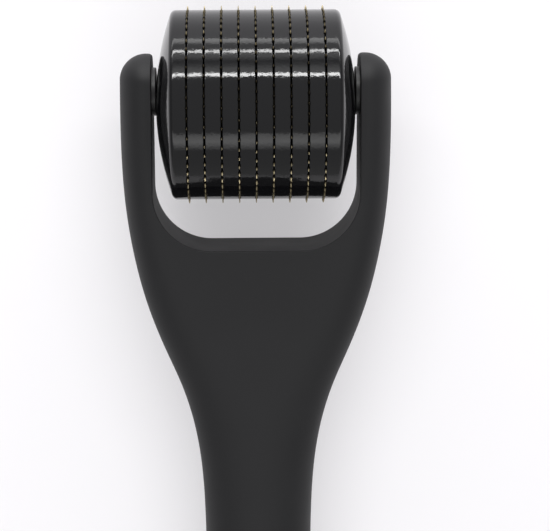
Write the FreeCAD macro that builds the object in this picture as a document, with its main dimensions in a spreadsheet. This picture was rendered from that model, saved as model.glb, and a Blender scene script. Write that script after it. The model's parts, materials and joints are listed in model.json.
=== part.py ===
import FreeCAD, Part
import math
import os
import Sketcher
from FreeCAD import Placement, Rotation, Vector

# Derma roller: a needle drum that turns on a steel shaft between the two arms of a
# two-shell plastic handle. Millimetres. +Z is up, X runs along the drum's axle and
# +Y points from the handle to the drum. The origin is on the table, under the middle
# of the whole roller's box. The handle shells are drawn in their own frame, with the
# axle at the origin and the parting plane at z = 0, and are then tilted as the roller
# lies: on its needle tips and on the heel of the handle.

SIZES = (
    # Drum
    ("barrel_radius", 11.0, "outer radius of the spacers and end caps"),
    ("needle_length", 0.5, "how far the needles stand out of the barrel"),
    ("needle_width", 0.45, "width of a needle at its root"),
    ("needle_count", 60, "needles on one disc"),
    ("disc_thickness", 0.15, "sheet that the needle discs are stamped from"),
    ("disc_count", 9, "needle discs on the drum"),
    ("groove_depth", 0.15, "how far a disc's rim lies below the barrel"),
    ("spacer_width", 1.8, "width of a spacer ring"),
    ("spacer_chamfer", 0.1, "broken outer edge of a spacer ring"),
    ("core_radius", 7.0, "outer radius of the core tube"),
    ("core_wall", 1.5, "wall of the core tube"),
    ("core_seat", 1.4, "depth of the core's seat in an end cap"),
    ("key_count", 3, "keys that stop the spacers turning on the core"),
    ("key_width", 2.0, "width of a key"),
    ("key_depth", 0.8, "height of a key"),
    ("slide_clearance", 0.05, "clearance of a sliding fit"),
    ("cap_length", 3.625, "end cap, from its inner face to its hub face"),
    ("cap_dome_radius", 32.0, "sphere radius of the end cap's dome"),
    ("cap_rim_fillet", 0.7, "rounding where the dome meets the barrel"),
    ("hub_radius", 2.5, "flat hub face in the middle of the dome"),
    # Bearings
    ("shaft_radius", 0.75, "steel shaft"),
    ("shaft_clearance", 0.05, "radial clearance of the shaft in its bushes"),
    ("hub_play", 0.17, "gap between a hub face and its bush"),
    ("shaft_end_play", 0.15, "gap between a shaft end and the bottom of its bush"),
    ("flange_thickness", 0.35, "bush flange, proud of the arm"),
    ("flange_radius", 2.8, "bush flange"),
    ("flange_offset", 1.6, "flange centre, from the axle towards the arm's tip"),
    ("bush_radius", 1.8, "bush barrel inside the arm"),
    ("bush_length", 3.0, "bush barrel, from the arm's inner face"),
    ("bush_floor", 0.25, "closed end of the bush"),
    # Handle
    ("arm_width", 3.78, "width of a fork arm beside the axle"),
    ("arm_reach", 6.0, "from the axle to the tip of an arm"),
    ("arm_tip_radius", 3.0, "outer corner of an arm's tip"),
    ("arm_tip_inner_radius", 0.6, "inner corner of an arm's tip"),
    ("yoke_gap", 5.1, "from the needle tips to the bottom of the fork"),
    ("yoke_corner", 6.8, "corner radius at the bottom of the fork"),
    ("arm_depth", 4.2, "half thickness of the fork, from the parting plane"),
    ("neck_half", 6.3, "half width of the neck"),
    ("neck_front", 5.8, "neck, from the parting plane to the front"),
    ("neck_rear", 7.3, "neck, from the parting plane to the back"),
    ("belly_half", 7.7, "half width of the grip at its fullest"),
    ("belly_front", 6.6, "grip, from the parting plane to the front"),
    ("belly_rear", 7.8, "grip, from the parting plane to the back"),
    ("tail_half", 2.2, "half width of the flat at the tail"),
    ("tail_front", 2.4, "tail flat, from the parting plane to the front"),
    ("tail_rear", 2.1, "tail flat, from the parting plane to the back"),
    ("neck_length", 41.4, "from the bottom of the fork to the neck"),
    ("grip_length", 69.5, "from the neck to the tail"),
    ("side_height", 1.0, "upright side of a shell beside the parting plane"),
    ("shoulder_limit", 0.85, "largest shoulder radius as a share of the half width"),
    ("shell_wall", 1.8, "wall of the handle shells"),
    ("heel_flat", 0.2, "depth of the flat that the heel rests on"),
    # Posts that join the shells
    ("post_radius", 2.0, "outer radius of a post or socket"),
    ("pin_radius", 1.0, "pin at the end of a front post"),
    ("pin_length", 2.2, "how far a pin goes into its socket"),
    ("socket_depth", 2.6, "depth of the hole in a socket"),
    ("yoke_post_spread", 5.4, "yoke posts, from the middle plane"),
    ("yoke_post_drop", 4.1, "yoke posts, below the bottom of the fork"),
)

# Worked out from the sizes above.
DERIVED = (
    ("tip_radius", "sizes.barrel_radius + sizes.needle_length"),
    ("disc_pitch", "sizes.spacer_width + sizes.disc_thickness"),
    ("disc_radius", "sizes.barrel_radius - sizes.groove_depth"),
    ("bore_radius", "sizes.core_radius + sizes.slide_clearance"),
    ("stack_half",
     "(sizes.disc_count * sizes.disc_thickness + (sizes.disc_count - 1) * sizes.spacer_width) / 2"),
    ("dome_centre",
     "sizes.cap_length - sqrt(sizes.cap_dome_radius ^ 2 - sizes.hub_radius ^ 2)"),
    ("dome_edge",
     "derived.dome_centre + sqrt(sizes.cap_dome_radius ^ 2 - sizes.barrel_radius ^ 2)"),
    ("arm_inside",
     "derived.stack_half + sizes.cap_length + sizes.hub_play + sizes.flange_thickness"),
    ("fork_half", "derived.arm_inside + sizes.arm_width"),
    ("shaft_half",
     "derived.arm_inside + sizes.bush_length - sizes.bush_floor - sizes.shaft_end_play"),
    ("fork_floor", "derived.tip_radius + sizes.yoke_gap"),
    ("post_row", "derived.fork_floor + sizes.yoke_post_drop"),
    ("neck_row", "derived.fork_floor + sizes.neck_length"),
    ("tail_row", "derived.neck_row + sizes.grip_length"),
)

# How far a station along the handle is between two of the sizes.
FLARE = "sizes.neck_half + %s * (derived.fork_half - sizes.neck_half)"
BELLY = "sizes.neck_half + %s * (sizes.belly_half - sizes.neck_half)"
TAIL = "sizes.tail_half + %s * (sizes.belly_half - sizes.tail_half)"
BEHIND_FORK = "derived.fork_floor + %s * sizes.neck_length"
BEHIND_NECK = "derived.neck_row + %s * sizes.grip_length"


def between(low, high, share):
    """A size that lies a share of the way from one size to another."""
    return "%s + %s * (%s - %s)" % (low, share, high, low)


def neck_depths(share):
    """Front and rear depth on the way from the fork to the neck."""
    return (between("sizes.arm_depth", "sizes.neck_front", share),
            between("sizes.arm_depth", "sizes.neck_rear", share))


def belly_depths(share):
    """Front and rear depth on the way from the neck to the fullest part of the grip."""
    return (between("sizes.neck_front", "sizes.belly_front", share),
            between("sizes.neck_rear", "sizes.belly_rear", share))


def tail_depths(front_share, rear_share):
    """Front and rear depth on the way from the tail to the fullest part of the grip."""
    return (between("sizes.tail_front", "sizes.belly_front", front_share),
            between("sizes.tail_rear", "sizes.belly_rear", rear_share))


# Stations along the handle, from the arm tips to the tail. Each has its distance from
# the axle towards the tail, its half width, and its depths in front of and behind the
# parting plane.
STATIONS = (
    ("-sizes.arm_reach", FLARE % 0.99, *neck_depths(-0.1)),
    ("0", FLARE % 1.0, *neck_depths(0)),
    ("derived.fork_floor * 0.5", FLARE % 0.984, *neck_depths(0)),
    ("derived.fork_floor * 0.9", FLARE % 0.912, *neck_depths(0)),
    ("derived.post_row", FLARE % 0.796, *neck_depths(0.03)),
    (BEHIND_FORK % 0.227, FLARE % 0.623, *neck_depths(0.08)),
    (BEHIND_FORK % 0.348, FLARE % 0.403, *neck_depths(0.18)),
    (BEHIND_FORK % 0.469, FLARE % 0.207, *neck_depths(0.33)),
    (BEHIND_FORK % 0.614, FLARE % 0.073, *neck_depths(0.52)),
    (BEHIND_FORK % 0.8, FLARE % 0.012, *neck_depths(0.78)),
    ("derived.neck_row", "sizes.neck_half", *neck_depths(1)),
    (BEHIND_NECK % 0.2, BELLY % 0.3, *belly_depths(1)),
    (BEHIND_NECK % 0.43, BELLY % 0.8, *tail_depths(1, 0.92)),
    (BEHIND_NECK % 0.66, "sizes.belly_half", *tail_depths(0.97, 0.78)),
    (BEHIND_NECK % 0.835, TAIL % 0.91, *tail_depths(0.87, 0.62)),
    (BEHIND_NECK % 0.93, TAIL % 0.68, *tail_depths(0.66, 0.43)),
    (BEHIND_NECK % 0.98, TAIL % 0.34, *tail_depths(0.33, 0.2)),
    ("derived.tail_row", "sizes.tail_half", "sizes.tail_front", "sizes.tail_rear"),
)
POST_STATION = 4
HEEL_STATION = 12
GRIP_POST_STATIONS = (10, 12, 14)
CAVITY_STATIONS = range(POST_STATION, 16)

# Turn of each needle disc from the handle's normal towards the tail, in degrees, from
# left to right: the discs are clamped between the spacers wherever they happen to land.
DISC_TURNS = (0.8, -0.1, 1.0, 2.0, 3.4, 0.1, 0.2, -1.6, -0.4)

doc = FreeCAD.newDocument("derma_roller")
sheet = doc.addObject("Spreadsheet::Sheet", "sizes")
derived = doc.addObject("App::VarSet", "derived")


def fill_sheet():
    """The driving sizes, one per row, and the values that follow from them."""
    for row, (alias, value, meaning) in enumerate(SIZES, start=1):
        sheet.set("A%d" % row, meaning)
        sheet.set("B%d" % row, str(value))
        sheet.setAlias("B%d" % row, alias)
    doc.recompute()
    for name, formula in DERIVED:
        derived.addProperty("App::PropertyFloat", name)
        derived.setExpression(name, formula)
        doc.recompute()


def value_of(expression):
    """The number that an expression over the sheet gives."""
    return float(sheet.evalExpression(expression))


def new_body(label):
    body = doc.addObject("PartDesign::Body", label)
    body.Label = label
    return body


def origin_plane(body, role):
    return next(item for item in body.Origin.OriginFeatures if item.Role == role)


def new_sketch(body, name, role, offset=None):
    """A sketch on one of the body's origin planes, moved along its normal by an expression."""
    sketch = body.newObject("Sketcher::SketchObject", name)
    sketch.AttachmentSupport = [(origin_plane(body, role), "")]
    sketch.MapMode = "FlatFace"
    if offset is not None:
        sketch.setExpression("AttachmentOffset.Base.z", offset)
    doc.recompute()
    return sketch


def hold(sketch, kind, where, expression):
    """A driving constraint that takes its value from the sheet."""
    index = sketch.addConstraint(Sketcher.Constraint(kind, *where, value_of(expression)))
    sketch.setExpression("Constraints[%d]" % index, expression)


def add_circle(sketch, radius, across="0", along="0"):
    centre = Vector(value_of(across), value_of(along), 0)
    circle = sketch.addGeometry(Part.Circle(centre, Vector(0, 0, 1), value_of(radius)), False)
    hold(sketch, "Radius", (circle,), radius)
    hold(sketch, "DistanceX", (-1, 1, circle, 3), across)
    hold(sketch, "DistanceY", (-1, 1, circle, 3), along)
    return circle


def add_outline(sketch, corners):
    """A closed outline of lines and arcs.

    Each corner is (across, along), or (across, along, radius, centre across, centre
    along) where an arc with that centre leads from this corner to the next one.
    """
    points = [Vector(value_of(corner[0]), value_of(corner[1]), 0) for corner in corners]
    starts = []
    for index, corner in enumerate(corners):
        first = points[index]
        last = points[(index + 1) % len(points)]
        if len(corner) == 2:
            edge = sketch.addGeometry(Part.LineSegment(first, last), False)
        else:
            centre = Vector(value_of(corner[3]), value_of(corner[4]), 0)
            outward = ((first + last) * 0.5 - centre).normalize()
            middle = centre + outward * value_of(corner[2])
            edge = sketch.addGeometry(Part.Arc(first, middle, last), False)
        forward = (sketch.getPoint(edge, 1) - first).Length < (sketch.getPoint(edge, 1) - last).Length
        starts.append((edge, 1 if forward else 2, 2 if forward else 1))
    for index, corner in enumerate(corners):
        edge, start, end = starts[index]
        next_edge, next_start, _ = starts[(index + 1) % len(starts)]
        sketch.addConstraint(Sketcher.Constraint("Coincident", edge, end, next_edge, next_start))
        hold(sketch, "DistanceX", (-1, 1, edge, start), corner[0])
        hold(sketch, "DistanceY", (-1, 1, edge, start), corner[1])
        if len(corner) > 2:
            hold(sketch, "Radius", (edge,), corner[2])


def extrude(body, kind, name, sketch, length, symmetric=False, reverse=False):
    """A pad or a pocket of a sketch; a pocket that removes nothing is an error."""
    before = body.Shape.Volume if kind == "Pocket" else 0
    feature = body.newObject("PartDesign::" + kind, name)
    feature.Profile = sketch
    feature.Type = "Length"
    if symmetric:
        feature.SideType = "Symmetric"
    feature.Reversed = reverse
    feature.setExpression("Length", length)
    doc.recompute()
    body.Tip = feature
    if kind == "Pocket" and feature.Shape.Volume > before - 1e-6:
        raise RuntimeError(name + " cuts nothing")
    return feature


def repeat_around(body, name, feature, count):
    """The same feature again, evenly spaced round the body's X axis."""
    pattern = body.newObject("PartDesign::PolarPattern", name)
    pattern.Originals = [feature]
    pattern.Axis = (origin_plane(body, "X_Axis"), [""])
    pattern.Angle = 360
    pattern.setExpression("Occurrences", count)
    doc.recompute()
    body.Tip = pattern
    return pattern


def round_edges(body, kind, name, wanted, size):
    """A fillet or chamfer on the edges of the body's tip that pass the test wanted."""
    base = body.Tip
    names = ["Edge%d" % (index + 1) for index, edge in enumerate(base.Shape.Edges) if wanted(edge)]
    if not names:
        raise RuntimeError(name + " finds no edge")
    feature = body.newObject("PartDesign::" + kind, name)
    feature.Base = (base, names)
    feature.setExpression("Radius" if kind == "Fillet" else "Size", size)
    doc.recompute()
    body.Tip = feature
    return feature


def is_circle(edge, radius):
    return isinstance(edge.Curve, Part.Circle) and abs(edge.Curve.Radius - radius) < 1e-4


# Drum

def make_needle_disc(label):
    """A stamped disc with a ring of lancet points, and a round bore that passes the core."""
    body = new_body(label)
    rim = new_sketch(body, label + "_rim", "YZ_Plane")
    add_circle(rim, "derived.disc_radius")
    add_circle(rim, "derived.bore_radius")
    extrude(body, "Pad", label + "_sheet", rim, "sizes.disc_thickness", symmetric=True)
    point = new_sketch(body, label + "_point", "YZ_Plane")
    root = "derived.disc_radius - sizes.needle_length / 4"
    add_outline(point, (
        ("-sizes.needle_width / 2", root),
        ("sizes.needle_width / 2", root),
        ("sizes.needle_width / 2", "derived.disc_radius"),
        ("0", "derived.tip_radius"),
        ("-sizes.needle_width / 2", "derived.disc_radius"),
    ))
    needle = extrude(body, "Pad", label + "_needle", point, "sizes.disc_thickness", symmetric=True)
    repeat_around(body, label + "_needles", needle, "sizes.needle_count")
    return body


def key_outline(sketch, half_width, bottom, top):
    add_outline(sketch, (
        ("-(%s)" % half_width, bottom),
        (half_width, bottom),
        (half_width, top),
        ("-(%s)" % half_width, top),
    ))


def make_spacer_ring(label):
    """A ring with broken edges and keys that slide in the core's grooves."""
    body = new_body(label)
    ring = new_sketch(body, label + "_ring", "YZ_Plane")
    add_circle(ring, "sizes.barrel_radius")
    add_circle(ring, "derived.bore_radius")
    extrude(body, "Pad", label + "_band", ring, "sizes.spacer_width", symmetric=True)
    key = new_sketch(body, label + "_key_shape", "YZ_Plane")
    key_outline(key, "sizes.key_width / 2", "sizes.core_radius - sizes.key_depth",
                "derived.bore_radius + sizes.key_depth / 2")
    pad = extrude(body, "Pad", label + "_key", key, "sizes.spacer_width", symmetric=True)
    repeat_around(body, label + "_keys", pad, "sizes.key_count")
    rim = value_of("sizes.barrel_radius")
    round_edges(body, "Chamfer", label + "_edges", lambda edge: is_circle(edge, rim),
                "sizes.spacer_chamfer")
    return body


def make_drum_core(label):
    """A tube with grooves for the spacers' keys; its ends sit in the end caps."""
    body = new_body(label)
    length = "2 * (derived.stack_half + sizes.core_seat)"
    tube = new_sketch(body, label + "_tube", "YZ_Plane")
    add_circle(tube, "sizes.core_radius")
    add_circle(tube, "sizes.core_radius - sizes.core_wall")
    extrude(body, "Pad", label + "_wall", tube, length, symmetric=True)
    groove = new_sketch(body, label + "_groove_shape", "YZ_Plane")
    key_outline(groove, "sizes.key_width / 2 + sizes.slide_clearance",
                "sizes.core_radius - sizes.key_depth - sizes.slide_clearance",
                "sizes.core_radius + sizes.key_depth")
    pocket = extrude(body, "Pocket", label + "_groove", groove, length, symmetric=True)
    repeat_around(body, label + "_grooves", pocket, "sizes.key_count")
    return body


def make_end_cap(label):
    """A domed cap turned about X, its inner face at x = 0 and its hub face outwards."""
    body = new_body(label)
    profile = new_sketch(body, label + "_profile", "XY_Plane")
    add_outline(profile, (
        ("0", "sizes.barrel_radius"),
        ("derived.dome_edge", "sizes.barrel_radius", "sizes.cap_dome_radius",
         "derived.dome_centre", "0"),
        ("sizes.cap_length", "sizes.hub_radius"),
        ("sizes.cap_length", "sizes.shaft_radius"),
        ("sizes.core_seat", "sizes.shaft_radius"),
        ("sizes.core_seat", "sizes.core_radius"),
        ("0", "sizes.core_radius"),
    ))
    turned = body.newObject("PartDesign::Revolution", label + "_turned")
    turned.Profile = profile
    turned.ReferenceAxis = (origin_plane(body, "X_Axis"), [""])
    turned.Angle = 360
    doc.recompute()
    body.Tip = turned
    rim = value_of("sizes.barrel_radius")
    edge_row = value_of("derived.dome_edge")
    round_edges(body, "Fillet", label + "_rim",
                lambda edge: is_circle(edge, rim) and abs(edge.CenterOfMass.x - edge_row) < 1e-4,
                "sizes.cap_rim_fillet")
    return body


def make_shaft(label):
    body = new_body(label)
    round_bar = new_sketch(body, label + "_section", "YZ_Plane")
    add_circle(round_bar, "sizes.shaft_radius")
    extrude(body, "Pad", label + "_bar", round_bar, "2 * derived.shaft_half", symmetric=True)
    return body


# Handle

def make_bush(label):
    """A blind plastic bush; its flange is round and set towards the arm's tip."""
    body = new_body(label)
    flange = new_sketch(body, label + "_flange_shape", "YZ_Plane")
    add_circle(flange, "sizes.flange_radius", across="sizes.flange_offset")
    extrude(body, "Pad", label + "_flange", flange, "sizes.flange_thickness")
    barrel = new_sketch(body, label + "_barrel_shape", "YZ_Plane", "sizes.flange_thickness")
    add_circle(barrel, "sizes.bush_radius")
    extrude(body, "Pad", label + "_barrel", barrel, "sizes.bush_length")
    bore = new_sketch(body, label + "_bore_shape", "YZ_Plane")
    add_circle(bore, "sizes.shaft_radius + sizes.shaft_clearance")
    extrude(body, "Pocket", label + "_bore", bore,
            "sizes.flange_thickness + sizes.bush_length - sizes.bush_floor", reverse=True)
    return body


def shell_section(body, name, side, station, inset):
    """Half a cross-section of the handle: upright sides, round shoulders and a flat top.

    The section lies across the handle at its station. An inset moves its whole outline
    inwards, which gives the section of the cavity.
    """
    row, half, front, rear = station
    depth = front if side > 0 else rear
    shoulder = "(min(%s - sizes.side_height; sizes.shoulder_limit * (%s)) - %s)" % (depth, half, inset)
    half = "(%s - %s)" % (half, inset)
    depth = "(%s - %s)" % (depth, inset)
    sign = "" if side > 0 else "-"
    sketch = new_sketch(body, name, "XZ_Plane", row)
    flat = "(%s - %s)" % (half, shoulder)
    level = "%s(%s - %s)" % (sign, depth, shoulder)
    top = "%s%s" % (sign, depth)
    add_outline(sketch, (
        ("-" + half, "0"),
        (half, "0"),
        (half, level, shoulder, flat, level),
        (flat, top),
        ("-" + flat, top, shoulder, "-" + flat, level),
        ("-" + half, level),
    ))
    return sketch


def loft(body, kind, name, sections):
    feature = body.newObject("PartDesign::" + kind, name)
    feature.Profile = sections[0]
    feature.Sections = sections[1:]
    doc.recompute()
    body.Tip = feature
    return feature


def add_fork(body, name):
    """The gap between the arms, with round corners at its bottom."""
    sketch = new_sketch(body, name + "_gap_shape", "XY_Plane")
    beyond = "2 * sizes.arm_reach"
    corner = "sizes.yoke_corner"
    inside = "derived.arm_inside"
    floor = "-derived.fork_floor"
    add_outline(sketch, (
        ("-" + inside, beyond),
        ("-" + inside, "%s + %s" % (floor, corner), corner,
         "-(%s - %s)" % (inside, corner), "%s + %s" % (floor, corner)),
        ("-(%s - %s)" % (inside, corner), floor),
        ("%s - %s" % (inside, corner), floor, corner,
         "%s - %s" % (inside, corner), "%s + %s" % (floor, corner)),
        (inside, "%s + %s" % (floor, corner)),
        (inside, beyond),
    ))
    extrude(body, "Pocket", name + "_gap", sketch, "4 * sizes.arm_depth", symmetric=True)


def add_tip_rounding(body, name):
    """Trims the arm tips to a large outer corner and a small inner one."""
    reach = "sizes.arm_reach"
    beyond = "2 * sizes.arm_reach"
    for hand in ("", "-"):
        for edge, inward, radius in ((FLARE % 0.99, "-", "sizes.arm_tip_radius"),
                                     ("derived.arm_inside", "+", "sizes.arm_tip_inner_radius")):
            start = "(%s %s %s)" % (edge, inward, radius)
            outward = "+" if inward == "-" else "-"
            far = "(%s %s 1)" % (edge, outward)
            sketch = new_sketch(body, name + "_tip_shape", "XY_Plane")
            add_outline(sketch, (
                (hand + start, beyond),
                (hand + start, reach, radius, hand + start, "%s - %s" % (reach, radius)),
                ("%s(%s)" % (hand, edge), "%s - %s" % (reach, radius)),
                (hand + far, "%s - %s" % (reach, radius)),
                (hand + far, beyond),
            ))
            extrude(body, "Pocket", name + "_tip", sketch, "4 * sizes.arm_depth", symmetric=True)


def post_places():
    """Across, along and the station of each post that joins the shells."""
    places = [(sign + "sizes.yoke_post_spread", "-derived.post_row", POST_STATION) for sign in ("-", "")]
    for station in GRIP_POST_STATIONS:
        places.append(("0", "-(%s)" % STATIONS[station][0], station))
    return places


def add_posts(body, name, side):
    """Posts from the shell's roof to the parting plane, with pins in front and sockets behind."""
    for index, (across, along, station) in enumerate(post_places()):
        depth = STATIONS[station][2 if side > 0 else 3]
        stem = new_sketch(body, "%s_post_shape_%d" % (name, index), "XY_Plane")
        add_circle(stem, "sizes.post_radius", across, along)
        extrude(body, "Pad", "%s_post_%d" % (name, index), stem,
                "%s - sizes.shell_wall / 2" % depth, reverse=side < 0)
        end = new_sketch(body, "%s_post_end_%d" % (name, index), "XY_Plane")
        if side > 0:
            add_circle(end, "sizes.pin_radius", across, along)
            extrude(body, "Pad", "%s_pin_%d" % (name, index), end, "sizes.pin_length", reverse=True)
        else:
            add_circle(end, "sizes.pin_radius + sizes.slide_clearance", across, along)
            extrude(body, "Pocket", "%s_socket_%d" % (name, index), end, "sizes.socket_depth")


def make_shell(label, side):
    """One half of the handle: a hollow loft with fork, posts and half of each bush's seat."""
    body = new_body(label)
    outer = [shell_section(body, "%s_section_%d" % (label, index), side, station, "0")
             for index, station in enumerate(STATIONS)]
    loft(body, "AdditiveLoft", label + "_outside", outer)
    mouth_row = "derived.fork_floor + sizes.shell_wall"
    first = STATIONS[POST_STATION]
    mouth = (mouth_row,) + first[1:]
    inner = [shell_section(body, label + "_mouth", side, mouth, "sizes.shell_wall")]
    inner += [shell_section(body, "%s_cavity_%d" % (label, index), side, STATIONS[index],
                            "sizes.shell_wall") for index in CAVITY_STATIONS]
    loft(body, "SubtractiveLoft", label + "_cavity", inner)
    add_fork(body, label)
    add_tip_rounding(body, label)
    seat = new_sketch(body, label + "_seat_shape", "YZ_Plane")
    add_circle(seat, "sizes.bush_radius")
    extrude(body, "Pocket", label + "_seat", seat,
            "2 * (derived.arm_inside + sizes.bush_length)", symmetric=True)
    add_posts(body, label, side)
    return body


def handle_tilt():
    """The tilt, about the axle, that brings the heel down to the table with the needle tips."""
    row = value_of(STATIONS[HEEL_STATION][0])
    depth = value_of(STATIONS[HEEL_STATION][3])
    drop = value_of("derived.tip_radius + sizes.heel_flat")
    return math.degrees(math.asin(drop / math.hypot(row, depth)) - math.atan2(depth, row))


def axle_place(tilt):
    """The axle's place over the origin, so that the roller's box is centred on it in Y."""
    angle = math.radians(tilt)
    tail = value_of("derived.tail_row") * math.cos(angle) + value_of("sizes.tail_front") * math.sin(angle)
    reach = value_of("derived.tip_radius")
    return Vector(0, (tail - reach) / 2, reach)


def make_rest_cut(label, shell):
    """The rear shell, planed off level with the table where its heel rests."""
    table = doc.addObject("Part::Box", label + "_table")
    table.setExpression("Length", "4 * derived.fork_half")
    table.setExpression("Width", "4 * derived.tail_row")
    table.setExpression("Height", "2 * sizes.barrel_radius")
    doc.recompute()
    table.Placement = Placement(
        Vector(-table.Length.Value / 2, -table.Width.Value / 2, -table.Height.Value), Rotation())
    cut = doc.addObject("Part::Cut", label)
    cut.Label = label
    cut.Base = shell
    cut.Tool = table
    doc.recompute()
    return cut


def build():
    """Makes every piece and puts it in its place."""
    fill_sheet()
    tilt = handle_tilt()
    axle = axle_place(tilt)
    handle = Placement(axle, Rotation(Vector(1, 0, 0), tilt))
    flip = Rotation(Vector(0, 1, 0), 180)

    pieces = []
    front = make_shell("front_shell", 1)
    front.Placement = handle
    rear = make_shell("rear_shell_body", -1)
    rear.Placement = handle
    pieces.append(front)
    pieces.append(make_rest_cut("rear_shell", rear))

    bush_face = value_of("derived.arm_inside - sizes.flange_thickness")
    for label, place in (("right_bush", Placement(Vector(bush_face, 0, 0), Rotation())),
                         ("left_bush", Placement(Vector(-bush_face, 0, 0), flip))):
        bush = make_bush(label)
        bush.Placement = handle * place
        pieces.append(bush)

    def on_axle(piece, across, turn=0.0, flipped=False):
        """Puts a drum piece on the axle, turned from the handle's normal towards the tail."""
        rotation = Rotation(Vector(1, 0, 0), tilt + turn) * (flip if flipped else Rotation())
        piece.Placement = Placement(axle + Vector(across, 0, 0), rotation)
        pieces.append(piece)

    on_axle(make_shaft("roller_shaft"), 0)
    on_axle(make_drum_core("drum_core"), 0)
    cap_face = value_of("derived.stack_half")
    on_axle(make_end_cap("right_end_cap"), cap_face)
    on_axle(make_end_cap("left_end_cap"), -cap_face, flipped=True)
    pitch = value_of("derived.disc_pitch")
    count = int(value_of("sizes.disc_count"))
    first = -pitch * (count - 1) / 2
    for index in range(count):
        turn = DISC_TURNS[index % len(DISC_TURNS)]
        on_axle(make_needle_disc("needle_disc_%d" % (index + 1)), first + index * pitch, turn)
    for index in range(count - 1):
        on_axle(make_spacer_ring("spacer_ring_%d" % (index + 1)), first + (index + 0.5) * pitch)
    doc.recompute()
    return pieces


def check(pieces):
    """Stops if any object failed or any piece is not one valid solid."""
    for item in doc.Objects:
        if "Invalid" in item.State or "Error" in item.State:
            raise RuntimeError("%s failed: %s" % (item.Label, item.State))
    for piece in pieces:
        if piece.Shape.isNull() or not piece.Shape.isValid() or len(piece.Shape.Solids) != 1:
            raise RuntimeError("%s is not one valid solid" % piece.Label)


def write(pieces):
    os.makedirs("parts", exist_ok=True)
    for piece in pieces:
        piece.Shape.exportStep("parts/%s.step" % piece.Label)


pieces = build()
check(pieces)
write(pieces)
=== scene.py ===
"""The visible pieces of a derma roller, built round its fixed CAD frame.

Lengths are metres. A roller has two frames here: the row frame of the CAD model, with
+Z up from the table, and the handle frame, with the axle at its origin, the parting
plane of the two handle shells at z = 0 and the handle running towards -y.
"""

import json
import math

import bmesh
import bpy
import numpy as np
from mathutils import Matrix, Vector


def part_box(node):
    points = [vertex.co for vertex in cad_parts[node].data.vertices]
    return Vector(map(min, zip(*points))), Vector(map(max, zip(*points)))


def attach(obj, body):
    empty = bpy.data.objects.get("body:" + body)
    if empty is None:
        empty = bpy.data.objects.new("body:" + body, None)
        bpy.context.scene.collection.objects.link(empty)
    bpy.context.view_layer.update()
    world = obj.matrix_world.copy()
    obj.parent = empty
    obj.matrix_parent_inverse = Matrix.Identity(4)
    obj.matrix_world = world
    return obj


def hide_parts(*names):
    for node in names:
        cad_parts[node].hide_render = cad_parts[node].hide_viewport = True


bl_info = {
    "name": "Derma roller",
    "version": (1, 0, 0),
    "blender": (4, 5, 0),
    "location": "View3D > Sidebar > Derma roller",
    "description": "Builds the shells, drum, needles and stage of a derma roller",
    "category": "Object",
}

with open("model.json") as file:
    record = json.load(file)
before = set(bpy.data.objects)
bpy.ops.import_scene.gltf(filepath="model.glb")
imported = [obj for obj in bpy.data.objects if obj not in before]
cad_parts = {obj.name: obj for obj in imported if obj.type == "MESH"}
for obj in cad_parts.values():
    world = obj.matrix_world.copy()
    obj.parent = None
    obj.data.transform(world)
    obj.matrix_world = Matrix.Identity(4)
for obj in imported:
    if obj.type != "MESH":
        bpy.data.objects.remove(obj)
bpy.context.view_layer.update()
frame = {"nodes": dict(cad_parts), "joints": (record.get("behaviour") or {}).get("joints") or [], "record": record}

MM = 0.001


# Places that come from the frame

def mount(name):
    """The record's mount of that name."""
    return next(item for item in frame["record"]["mounts"] if item["name"] == name)


def node_box(name):
    """Lowest and highest corner of a CAD node at rest."""
    low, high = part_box(name)
    return np.array(low), np.array(high)


AXLE = np.array(next(joint for joint in frame["joints"] if joint["name"] == "roller_spin")["pos_m"])
NECK_AXIS = mount("handle_neck")["axis"]
TILT = math.atan2(NECK_AXIS[2], NECK_AXIS[1])
DISCS = sorted(name for name in frame["nodes"] if name.startswith("needle_disc_"))
RINGS = sorted(name for name in frame["nodes"] if name.startswith("spacer_ring_"))
BARREL_RADIUS = (node_box(RINGS[0])[1][1] - node_box(RINGS[0])[0][1]) / 2
TIP_RADIUS = (node_box(DISCS[0])[1][1] - node_box(DISCS[0])[0][1]) / 2
CAP_INSIDE = node_box("right_end_cap")[0][0]
HUB_FACE = node_box("right_end_cap")[1][0]
SHAFT_HALF = node_box("roller_shaft")[1][0]
SHAFT_RADIUS = (node_box("roller_shaft")[1][1] - node_box("roller_shaft")[0][1]) / 2


def handle_to_row(points):
    """Handle-frame points turned by the tilt about X and moved to the axle."""
    cos, sin = math.cos(TILT), math.sin(TILT)
    turned = points.copy()
    turned[..., 1] = points[..., 1] * cos - points[..., 2] * sin
    turned[..., 2] = points[..., 1] * sin + points[..., 2] * cos
    return turned + AXLE


# Sizes and colours that a user would change

def length_property(name, description, default):
    return bpy.props.FloatProperty(name=name, description=description, default=default,
                                   unit="LENGTH", subtype="DISTANCE", precision=5)


def colour_property(name, description, default):
    return bpy.props.FloatVectorProperty(name=name, description=description, default=default,
                                         size=3, subtype="COLOR", min=0, max=1)


def share_property(name, description, default):
    return bpy.props.FloatProperty(name=name, description=description, default=default,
                                   subtype="FACTOR", min=0, max=1)


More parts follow.
